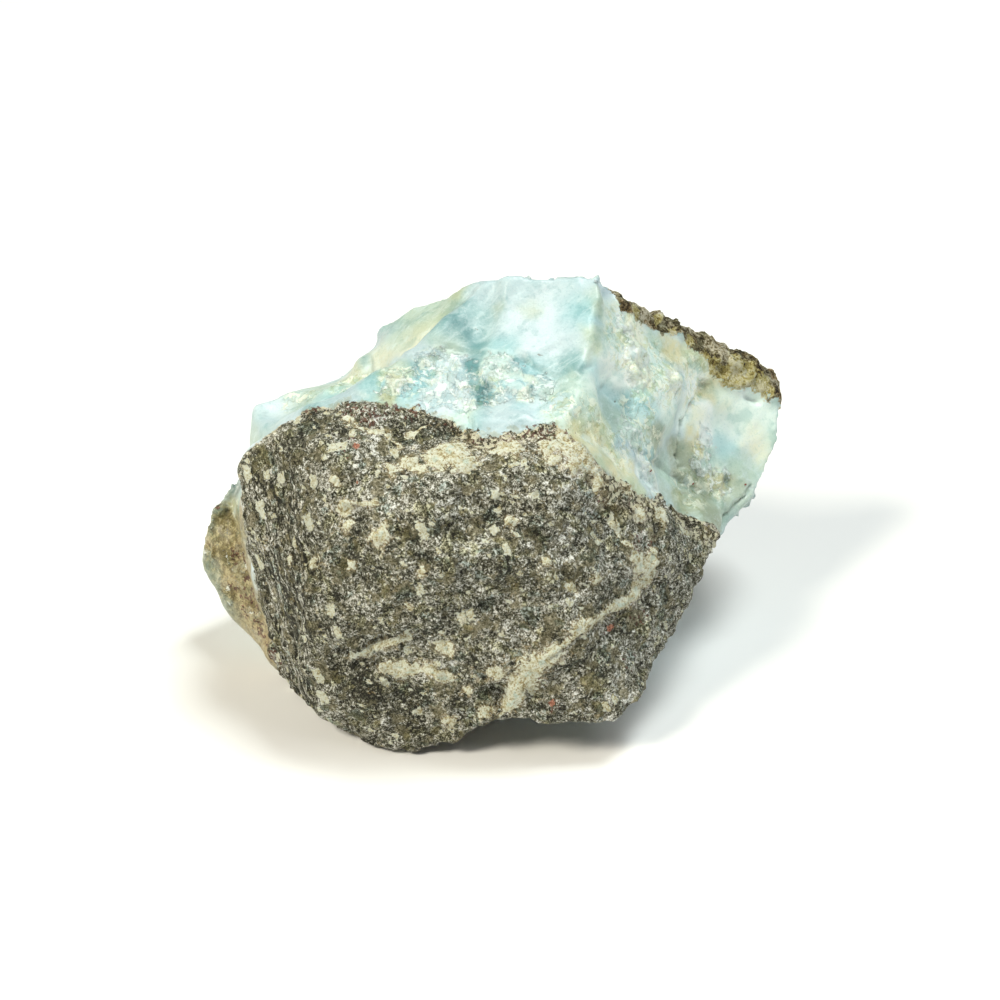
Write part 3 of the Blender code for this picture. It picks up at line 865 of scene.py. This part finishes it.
class Recipe:
    """One material, built from expressions."""

    def __init__(self, name):
        self.material = bpy.data.materials.new(name)
        self.material.use_nodes = True
        self.tree = self.material.node_tree
        self.tree.nodes.clear()

    def node(self, kind, settings, values, output=0):
        """Adds a node of that kind. Its settings come first, and then its sockets get numbers,
        colours or links. Sockets are named by identifier or by name."""
        made = self.tree.nodes.new("ShaderNode" + kind)
        for name, value in settings.items():
            if name == "stops":
                self.set_stops(made.color_ramp, value)
            else:
                setattr(made, name, value)
        for name, value in values.items():
            self.feed(self.find(made.inputs, name), value)
        return Tone(self, self.find(made.outputs, output))

    @staticmethod
    def find(sockets, name):
        if isinstance(name, int):
            return sockets[name]
        for socket in sockets:
            if socket.identifier == name:
                return socket
        return sockets[name]

    @staticmethod
    def set_stops(ramp, stops):
        while len(ramp.elements) < len(stops):
            ramp.elements.new(1)
        for element, (position, colour) in zip(ramp.elements, stops):
            element.position = position
            element.color = (*linear(*colour), 1)

    def feed(self, socket, value):
        if isinstance(value, Tone):
            self.tree.links.new(value.socket, socket)
        elif socket.type == "RGBA":
            socket.default_value = (*value[:3], 1)
        else:
            socket.default_value = value

    def maths(self, operation, first, second):
        return self.node("Math", {"operation": operation}, {0: first, 1: second})

    def attribute(self, name, output="Fac"):
        return self.node("Attribute", {"attribute_name": name}, {}, output)

    def place(self):
        """The point's place in the stone, in mm."""
        return self.scaled(self.node("TexCoord", {}, {}, "Object"), 1 / MM)

    def scaled(self, vector, factor):
        return self.node("VectorMath", {"operation": "SCALE"}, {0: vector, "Scale": factor})

    def moved(self, vector, push):
        return self.node("VectorMath", {"operation": "ADD"}, {0: vector, 1: push})

    def stretched(self, vector, turn, factors):
        """The place turned and then scaled along each axis, to draw a pattern out."""
        values = {"Vector": vector, "Rotation": turn}
        turned = self.node("Mapping", {"vector_type": "POINT"}, values)
        return self.node("VectorMath", {"operation": "MULTIPLY"}, {0: turned, 1: factors})

    def shaken(self, place, size, push, seed=0.0):
        """The place pushed about by a noise, so that what is drawn there has ragged edges."""
        where = self.moved(place, (seed, seed, seed)) if seed else place
        colour = self.noise(where, size, 2.0, 0.6, "Color")
        centred = self.moved(colour, (-0.5, -0.5, -0.5))
        return self.moved(place, self.scaled(centred, push))

    def noise(self, place, size, detail=2.0, roughness=0.5, output=0):
        values = {"Vector": place, "Scale": 1 / size, "Detail": detail, "Roughness": roughness}
        return self.node("TexNoise", {}, values, output)

    def curls(self, place, size, width):
        """1 along thin curled lines, where a noise passes its middle value, and 0 elsewhere."""
        noise = self.noise(place, size, 1.0, 0.5)
        away = (noise - 0.5).most(0.5 - noise)
        return (width - away).rise(0.0, width)

    def cells(self, place, size, feature="F1", output="Distance", metric="EUCLIDEAN"):
        settings = {"feature": feature, "distance": metric}
        return self.node("TexVoronoi", settings, {"Vector": place, "Scale": 1 / size}, output)

    def chance(self, place, size, channel=0, metric="EUCLIDEAN"):
        """A random number for each grain of that size."""
        return self.pick(self.cells(place, size, output="Color", metric=metric), channel)

    def pick(self, colour, channel=0):
        """One channel of a colour, as a number."""
        return self.node("SeparateColor", {}, {"Color": colour}, channel)

    def ramp(self, factor, stops):
        return self.node("ValToRGB", {"stops": stops}, {"Fac": factor}, "Color")

    def blend(self, factor, first, second, how="MIX"):
        """The first colour, giving way to the second as the factor goes from 0 to 1."""
        settings = {"data_type": "RGBA", "blend_type": how}
        values = {"Factor_Float": factor, "A_Color": first, "B_Color": second}
        return self.node("Mix", settings, values, "Result_Color")

    def paint(self, factor, colour, ink):
        """The colour, covered by a named ink as the factor goes from 0 to 1."""
        return self.blend(factor, colour, linear(*INKS[ink]))

    def stain(self, factor, colour, ink):
        """The colour, darkened by a named ink as the factor goes from 0 to 1."""
        return self.blend(factor, colour, linear(*INKS[ink]), "MULTIPLY")

    def bump(self, height, distance):
        return self.node("Bump", {}, {"Height": height, "Distance": distance * MM}, "Normal")

    def shader(self, values):
        return self.node("BsdfPrincipled", {}, values, "BSDF")

    def finish(self, shader):
        end = self.tree.nodes.new("ShaderNodeOutputMaterial")
        self.tree.links.new(shader.socket, end.inputs["Surface"])
        return self.material


def add_crystals(recipe, place, fine, small, colour, height):
    """Pale crystals of two sizes on the basalt, with ragged edges and a thin dark rim."""
    for size, seed, widest, rarity, metric in CRYSTALS:
        wide = recipe.shaken(place, size * 0.3, size * 0.5, seed)
        flat = recipe.stretched(wide, (seed, 0.4 * seed, 0.0), (0.7, 1.0, 1.3))
        chosen = recipe.chance(flat, size, 0, metric)
        radius = (chosen - rarity) * (widest / (1 - rarity)) + 0.06
        radius = radius * chosen.rise(rarity, rarity + 0.01)
        inside = radius - recipe.cells(flat, size, metric=metric)
        rim = (inside + 0.07).rise(0.0, 0.05) * chosen.rise(rarity, rarity + 0.01)
        crystal = inside.rise(0.0, 0.04)
        body = fine * 1.1 + small * 0.4 + (chosen - 0.8) * 0.4 - 0.25
        colour = recipe.paint(rim * 0.4, colour, "crystal rim")
        colour = recipe.blend(crystal * 0.85, colour, recipe.ramp(body, PALE_STOPS))
        height = height + crystal * 0.5
    return colour, height


def basalt_colour(recipe, place, fine, small):
    """Broken basalt: dark, grey and light grains, painted shade in thin crevices, pale crystals
    and dull tones, and its height.
    """
    loose = recipe.shaken(place, 0.5, 0.6)
    grain = recipe.chance(loose, 0.44)
    crumb = recipe.chance(loose, 0.26, 1)
    dust = recipe.noise(place, 0.17, 2.0, 0.7)
    pale_curl = recipe.curls(place, 0.6, 0.05)
    dark_curl = recipe.curls(recipe.moved(place, (9.0, 5.0, 2.0)), 0.75, 0.05)
    wound = recipe.shaken(place, 2.5, 2.0, 6.0)
    drawn_out = recipe.stretched(wound, (0.0, 0.2, 0.3), (0.6, 1.0, 1.3))
    patch = recipe.noise(drawn_out, 2.4, 4.0, 0.62)
    # thin dark curled lines: painted shade of crevices that the relief doesn't have
    painted_crevice_shade = recipe.curls(recipe.moved(wound, (4.0, 1.0, 7.0)), 3.4, 0.02)
    broad = recipe.noise(place, 6.0, 2.0, 0.5)
    # long streaks on the left face
    streaked = recipe.attribute("streaked")
    along = recipe.stretched(recipe.shaken(place, 3.0, 1.6), LEFT_TURN, (0.07, 1.0, 1.0))
    streak = recipe.noise(along, 0.6, 3.0, 0.62)
    pale_line = recipe.curls(along, 0.9, 0.05)
    dark_line = recipe.curls(recipe.moved(along, (3.0, 8.0, 5.0)), 1.1, 0.06)
    # how light each grain is, with thin lines darkened as painted crevice shade, and the skin's
    # tone, which holds painted shadow below the low ledge
    grains = (grain - 0.5) * 0.42 + (crumb - 0.5) * 0.5 + (dust - 0.5) * 1.2
    speckle = 0.455 + grains * (1 - streaked * 0.3)
    speckle = speckle + pale_curl * 0.34 - dark_curl * 0.3 - painted_crevice_shade * 0.2
    speckle = speckle + (small - 0.5) * 0.5 + (patch - 0.5) * 0.9 + (broad - 0.5) * 0.5
    speckle = speckle + streaked * ((streak - 0.5) * 1.2 + pale_line * 0.3 - dark_line * 0.45)
    # the skin's tone: the basalt's own patches, and painted shadow below the low ledge
    speckle = speckle + recipe.attribute("tone") * 0.15
    # calm patches, duller and olive-brown, where the grains hardly show
    tone = recipe.noise(wound, 2.6, 4.0, 0.62, "Color")
    calm = recipe.pick(tone, 1).rise(0.53, 0.60)
    speckle = 0.45 + (speckle - 0.45) * (1 - calm * 0.5)
    colour = recipe.ramp(speckle, BASALT_STOPS)
    # dull green, brown and blue-grey tones over patches
    green = recipe.pick(tone, 0).rise(0.53, 0.62)
    cool = recipe.pick(tone, 2).rise(0.57, 0.61)
    colour = recipe.stain(green * 0.6, colour, "dull green")
    colour = recipe.stain(calm * 0.5, colour, "dull brown")
    colour = recipe.stain(cool * 0.6, colour, "dull blue")
    height = grain * 0.25 + patch * 0.5 + streaked * streak
    return add_crystals(recipe, place, fine, small, colour, height)


def larimar_colour(recipe, place, fibre_turn, fine, small):
    """Larimar: its tint under veils and white clouds, crushed to sugary chips in places, and the
    height of its grain and how broken it is. The tint holds painted light on the right slope
    and the wing."""
    fibre = recipe.noise(recipe.stretched(place, fibre_turn, (0.16, 1.0, 1.0)), 0.8, 4.0, 0.6)
    swirl = recipe.shaken(place, 3.0, 3.0, 1.0)
    cloud = recipe.noise(swirl, 3.2, 5.0, 0.55)
    flake = recipe.noise(recipe.shaken(place, 1.0, 0.9, 2.0), 1.4, 5.0, 0.68)
    tint = recipe.attribute("tint", "Color")
    clear = recipe.pick(tint, 1).rise(0.22, 0.42)
    colour = recipe.stain((0.5 - cloud).rise(0.02, 0.18) * 0.4, tint, "shade")
    colour = recipe.paint((cloud - 0.5).rise(0.02, 0.18) * clear * 0.35, colour, "veil")
    colour = recipe.paint((fibre - 0.5).rise(0.02, 0.18) * clear * 0.3, colour, "veil")
    # mottled: olive, blue and milky by turns, with thin brown curls
    mottled = recipe.attribute("mottled")
    wound = recipe.shaken(place, 1.6, 1.8, 9.0)
    tones = recipe.noise(wound, 1.5, 4.0, 0.62, "Color")
    olive = recipe.pick(tones, 0).rise(0.51, 0.60) * mottled
    blue = recipe.pick(tones, 1).rise(0.52, 0.60) * mottled
    milky = recipe.pick(tones, 2).rise(0.53, 0.58) * mottled * clear
    curl = recipe.curls(wound, 1.6, 0.035) * mottled
    colour = recipe.stain(olive * 0.55, colour, "olive stain")
    colour = recipe.stain(blue * 0.4, colour, "blue stain")
    colour = recipe.paint(milky * 0.6, colour, "milk")
    colour = recipe.stain(curl * 0.35, colour, "brown curl")
    # crushed: ragged chips of many tints, with white crumble along their borders
    torn = recipe.shaken(place, 1.3, 1.7, 2.0)
    chip = recipe.chance(torn, 1.8)
    border = (0.14 - recipe.cells(torn, 1.8, "DISTANCE_TO_EDGE")).rise(0.0, 0.14)
    crumble = (flake + border * 0.09 + (small - 0.5) * 0.3).rise(0.56, 0.59)
    chips = recipe.ramp(chip * 0.8 + (flake - 0.5) * 0.9 - 0.02, CHIP_STOPS)
    crushed = recipe.attribute("crushed")
    broken = (crushed + (flake - 0.5) * 1.4 + (small - 0.5) * 0.8).rise(0.36, 0.46)
    colour = recipe.blend(broken * clear * (0.45 - mottled * 0.25), colour, chips)
    colour = recipe.paint(broken * clear * crumble * 0.5, colour, "crumble")
    # earthy where the tint is dark: pale and dark crumbs
    mottle = small * 0.6 + fine * 0.5
    earthy = 1 - recipe.pick(tint, 2).rise(0.14, 0.30)
    colour = recipe.paint(earthy * mottle.rise(0.56, 0.64) * 0.6, colour, "pale earth")
    colour = recipe.paint(earthy * mottle.rise(0.54, 0.46) * 0.6, colour, "dark earth")
    # lone white flakes, and dark dots
    lone = (flake - 0.625).rise(0.0, 0.012)
    colour = recipe.paint(lone * (broken * 0.5 + 0.15), colour, "flake")
    dot = (0.055 - recipe.cells(swirl, 3.6)).rise(0.0, 0.02)
    dot = dot * recipe.chance(swirl, 3.6).rise(0.6, 0.62)
    colour = recipe.paint(dot * 0.6, colour, "dot")
    # dust, and white specks
    dusty = fine.rise(0.44, 0.34) * 0.25 + small.rise(0.42, 0.32) * 0.2
    colour = recipe.stain(dusty, colour, "shade")
    specks = fine.rise(0.57, 0.64) * clear * (broken * 0.25 + 0.15)
    colour = recipe.paint(specks, colour, "speck")
    height = fibre * 0.2 + small * 0.4 + broken * (chip * 0.3 + crumble * 0.6 + fine * 0.5)
    return colour, height, broken


def crust_colour(recipe, place, fine, small):
    """Weathered crust: dark hollows, brown and beige crumbs, mustard where the skin says so, and
    its height."""
    crumb = recipe.chance(recipe.shaken(place, 0.9, 1.0, 8.0), 0.7)
    clump = recipe.noise(recipe.shaken(place, 1.6, 1.2, 4.0), 1.5, 5.0, 0.7)
    broad = recipe.noise(recipe.shaken(place, 4.0, 3.0, 3.0), 5.0, 3.0, 0.6)
    mottled = clump * 0.7 + 0.14 + (crumb - 0.5) * 0.14 + (fine - 0.5) * 0.7
    mottled = mottled + (small - 0.5) * 0.4 + (broad - 0.5) * 0.4
    tone = recipe.noise(recipe.moved(place, (2.0, 6.0, 4.0)), 4.0, 3.0, 0.6, "Color")
    rusty = recipe.pick(tone, 0).rise(0.52, 0.60)
    dull = recipe.pick(tone, 1).rise(0.52, 0.60)
    brown = recipe.stain(rusty * 0.6, recipe.ramp(mottled, CRUST_STOPS), "rusty crust")
    brown = recipe.stain(dull * 0.6, brown, "dull crust")
    amount = (recipe.attribute("mustard") + (small - 0.5) * 1.2).rise(0.34, 0.5)
    return recipe.blend(amount * 0.9, brown, recipe.ramp(mottled, MUSTARD_STOPS)), mottled


def marked_basalt(recipe, place, rock, fine, small, middling):
    """The basalt's colour with the brown grains by the contact and the pale mineral on it."""
    near_vein = recipe.attribute("grainy")
    grain = recipe.chance(recipe.shaken(place, 0.6, 0.7, 5.0), 0.5, 2)
    rock = recipe.stain(near_vein * 0.5, rock, "contact brown")
    rock = recipe.paint(near_vein * grain.rise(0.72, 0.76) * 0.85, rock, "bright grain")
    spread = recipe.attribute("pale")
    pale = spread + ((fine - 0.5) * 0.8 + (small - 0.5) * 1.2 + (middling - 0.5) * 1.3)
    mineral = recipe.ramp(small * 0.8 + fine * 1.0 - 0.38, PALE_STOPS)
    bluish = (spread - 0.8).rise(0.0, 0.15) * middling.rise(0.5, 0.56)
    mineral = recipe.paint(bluish * 0.6, mineral, "pale blue")
    haze = spread.rise(0.02, 0.4) * small.rise(0.38, 0.56)
    rock = recipe.paint(haze * 0.2, rock, "haze")
    rock = recipe.paint(pale.rise(0.28, 0.42) * 0.5, rock, "pale border")
    whole = 1 - fine.rise(0.44, 0.36) * 0.55
    return recipe.blend(pale.rise(0.42, 0.50) * whole * 0.92, rock, mineral)


def stone_material(fibre_turn):
    """The whole stone: basalt, larimar and crust, divided along the lines that the skin keeps."""
    recipe = Recipe("Larimar on basalt")
    place = recipe.place()
    fine = recipe.noise(place, 0.28, 3.0, 0.7)
    small = recipe.noise(place, 0.8, 3.0, 0.6)
    middling = recipe.noise(place, 1.9, 3.0, 0.6)

    # where each mineral and marking lies
    ragged = (fine - 0.5) * 0.9 + (small - 0.5) * 1.6 + (middling - 0.5) * 1.2
    vein = recipe.attribute("vein")
    in_vein = (vein + ragged).rise(-0.1, 0.1)
    in_crust = (recipe.attribute("crust") + ragged).rise(-0.1, 0.1)
    rust = recipe.attribute("rust")
    red = (recipe.attribute("red") + (fine - 0.5) * 0.9).rise(0.42, 0.52)
    rust_grain = recipe.chance(recipe.shaken(place, 0.6, 0.7, 5.0), 0.42, 1)
    rusty = (rust_grain + (rust - 0.5) * 0.4).rise(0.82, 0.88) * rust.rise(0.15, 0.4)
    rust_colour = recipe.ramp(fine * 0.7 + small * 0.3, RUST_STOPS)

    # basalt
    rock, rock_height = basalt_colour(recipe, place, fine, small)
    rock = marked_basalt(recipe, place, rock, fine, small, middling)
    rock = recipe.blend(rusty * 0.85, rock, rust_colour)
    rock = recipe.blend(red, rock, recipe.ramp(fine, RED_STOPS))

    # larimar
    larimar, larimar_height, broken = larimar_colour(recipe, place, fibre_turn, fine, small)
    larimar = recipe.blend(rusty * 0.85, larimar, rust_colour)
    stained = (0.9 - vein + (small - 0.5) * 3.0).rise(0.0, 0.6) * middling.rise(0.46, 0.58)
    larimar = recipe.stain(stained * 0.5, larimar, "contact stain")
    larimar = recipe.paint(red, larimar, "red grain")

    # crust
    brown, brown_height = crust_colour(recipe, place, fine, small)

    # gloss and relief
    basalt_shader = recipe.shader(
        {
            "Base Color": rock,
            "Roughness": 0.65,
            "Specular IOR Level": 0.3,
            "Normal": recipe.bump(rock_height + fine * 0.7 + small * 0.8, 0.5),
        }
    )
    larimar_shader = recipe.shader(
        {
            "Base Color": larimar,
            "Roughness": 0.38 + broken * 0.2,
            "Specular IOR Level": 0.4,
            "Subsurface Weight": 0.2,
            "Subsurface Radius": (0.8, 1.0, 1.0),
            "Subsurface Scale": 1.0 * MM,
            "Normal": recipe.bump(larimar_height, 0.18),
        }
    )
    crust_shader = recipe.shader(
        {
            "Base Color": brown,
            "Roughness": 0.75,
            "Specular IOR Level": 0.3,
            "Normal": recipe.bump(brown_height * 2 + fine, 0.35),
        }
    )
    stone = recipe.node("MixShader", {}, {"Fac": in_vein, 1: basalt_shader, 2: larimar_shader})
    stone = recipe.node("MixShader", {}, {"Fac": in_crust, 1: stone, 2: crust_shader})
    return recipe.finish(stone)


def floor_material(colour):
    """Pale paper with large soft clouds, a little darker than its colour in places."""
    recipe = Recipe("Pale floor")
    paper = recipe.noise(recipe.place(), 40, 2.0, 0.5)
    shade = recipe.blend(paper, tuple(0.99 * value for value in colour), colour)
    return recipe.finish(recipe.shader({"Base Color": shade, "Roughness": 0.8}))


# What a user would change


class LarimarStoneSettings(bpy.types.PropertyGroup):
    skin_step: bpy.props.FloatProperty(
        name="Skin Step",
        description="Distance between the points of the stone's skin",
        default=SKIN_STEP * MM,
        min=0.0003,
        max=0.002,
        unit="LENGTH",
        precision=5,
    )
    fibre_turn: bpy.props.FloatVectorProperty(
        name="Fibre Turn",
        description="Turn that brings the larimar's fibres onto the X axis",
        default=(0.0, math.radians(22.4), math.radians(-30.0)),
        subtype="EULER",
    )


class LarimarStageSettings(bpy.types.PropertyGroup):
    floor_colour: bpy.props.FloatVectorProperty(
        name="Floor Colour",
        description="Colour of the pale floor",
        default=(0.93, 0.93, 0.93),
        min=0,
        max=1,
        subtype="COLOR",
    )
    floor_size: bpy.props.FloatProperty(
        name="Floor Size",
        description="Side of the square floor",
        default=3.0,
        min=0.5,
        unit="LENGTH",
    )
    sky_strength: bpy.props.FloatProperty(
        name="Sky Strength",
        description="Strength of the even white light that the surroundings give",
        default=0.11,
        min=0,
    )
    key_power: bpy.props.FloatProperty(
        name="Key Power",
        description="Power of the warm light at the front left",
        default=12.0,
        min=0,
        unit="POWER",
    )
    top_power: bpy.props.FloatProperty(
        name="Top Power",
        description="Power of the cooler soft light overhead",
        default=10.2,
        min=0,
        unit="POWER",
    )
    side_power: bpy.props.FloatProperty(
        name="Side Power",
        description="Power of the weak white light at the front right",
        default=1.8,
        min=0,
        unit="POWER",
    )


# Operators


class LARIMAR_OT_stone(bpy.types.Operator):
    """Dresses the CAD stone with its fine skin, its relief, its markings and its material"""

    bl_idname = "larimar.stone"
    bl_label = "Dress the Stone"
    bl_options = {"REGISTER", "UNDO"}

    def execute(self, context):
        settings = context.scene.larimar_stone
        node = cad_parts[NODE]
        mesh = fine_skin(node, settings.skin_step / MM)
        mesh.name = PIECE
        skin = Skin(mesh, sight_caster(node))
        raised = skin.raised() * MM
        mesh.vertices.foreach_set("co", raised.astype(np.float32).ravel())
        for name in FIELDS:
            store(mesh, name, getattr(skin, name))
        mesh.shade_smooth()
        mesh.update()
        piece = bpy.data.objects.new(PIECE, mesh)
        context.scene.collection.objects.link(piece)
        mesh.materials.clear()
        mesh.materials.append(stone_material(tuple(settings.fibre_turn)))
        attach(piece, BODY)
        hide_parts(NODE)
        return {"FINISHED"}


def white_world(strength):
    """White all around: plain white to look at, and only as bright as asked for as a light."""
    world = bpy.data.worlds.new("Even white")
    world.use_nodes = True
    tree = world.node_tree
    sky = tree.nodes["Background"]
    sky.inputs["Color"].default_value = (1, 1, 1, 1)
    sight = tree.nodes.new("ShaderNodeLightPath")
    level = tree.nodes.new("ShaderNodeMapRange")
    level.inputs["To Min"].default_value = strength
    level.inputs["To Max"].default_value = 1
    tree.links.new(sight.outputs["Is Camera Ray"], level.inputs["Value"])
    tree.links.new(level.outputs["Result"], sky.inputs["Strength"])
    return world


def soft_light(name, place, size, power, colour):
    """A square soft light at that place, turned towards the stone."""
    lamp = bpy.data.lights.new(name, "AREA")
    lamp.size = size
    lamp.energy = power
    lamp.color = colour
    holder = bpy.data.objects.new(name, lamp)
    holder.location = place
    holder.rotation_euler = (VIEW_TARGET - Vector(place)).to_track_quat("-Z", "Y").to_euler()
    bpy.context.scene.collection.objects.link(holder)


class LARIMAR_OT_stage(bpy.types.Operator):
    """Makes the pale floor, the soft lights and the camera of the front view"""

    bl_idname = "larimar.stage"
    bl_label = "Set the Stage"
    bl_options = {"REGISTER", "UNDO"}

    def execute(self, context):
        settings = context.scene.larimar_stage
        scene = context.scene
        half = settings.floor_size / 2
        corners = [(-half, -half, 0), (half, -half, 0), (half, half, 0), (-half, half, 0)]
        mesh = bpy.data.meshes.new("floor")
        mesh.from_pydata(corners, [], [(0, 1, 2, 3)])
        mesh.materials.append(floor_material(tuple(settings.floor_colour)))
        floor = bpy.data.objects.new("floor", mesh)
        scene.collection.objects.link(floor)
        scene.world = white_world(settings.sky_strength)
        for name, place, size, colour in LIGHTS:
            soft_light(name, place, size, getattr(settings, name + "_power"), colour)

        forward = view_axes()[0]
        lens = bpy.data.cameras.new("front_view")
        lens.lens = VIEW_LENS
        lens.sensor_width = SENSOR
        lens.clip_start = NEAR_CLIP
        camera = bpy.data.objects.new("front_view", lens)
        camera.location = VIEW_TARGET - forward * VIEW_DISTANCE
        camera.rotation_euler = forward.to_track_quat("-Z", "Y").to_euler()
        scene.collection.objects.link(camera)
        scene.camera = camera
        scene.view_settings.view_transform = "Standard"
        return {"FINISHED"}


class LARIMAR_PT_panel(bpy.types.Panel):
    bl_label = "Rough Larimar"
    bl_idname = "LARIMAR_PT_panel"
    bl_space_type = "VIEW_3D"
    bl_region_type = "UI"
    bl_category = "Larimar"

    def draw(self, context):
        layout = self.layout
        for settings, operator in (
            (context.scene.larimar_stone, LARIMAR_OT_stone),
            (context.scene.larimar_stage, LARIMAR_OT_stage),
        ):
            box = layout.box()
            for name in settings.__annotations__:
                box.prop(settings, name)
            box.operator(operator.bl_idname)


CLASSES = (
    LarimarStoneSettings,
    LarimarStageSettings,
    LARIMAR_OT_stone,
    LARIMAR_OT_stage,
    LARIMAR_PT_panel,
)


def register():
    for item in CLASSES:
        bpy.utils.register_class(item)
    bpy.types.Scene.larimar_stone = bpy.props.PointerProperty(type=LarimarStoneSettings)
    bpy.types.Scene.larimar_stage = bpy.props.PointerProperty(type=LarimarStageSettings)


def unregister():
    del bpy.types.Scene.larimar_stage
    del bpy.types.Scene.larimar_stone
    for item in reversed(CLASSES):
        bpy.utils.unregister_class(item)


def main():
    register()
    bpy.ops.larimar.stone()
    bpy.ops.larimar.stage()


if __name__ == "__main__":
    main()
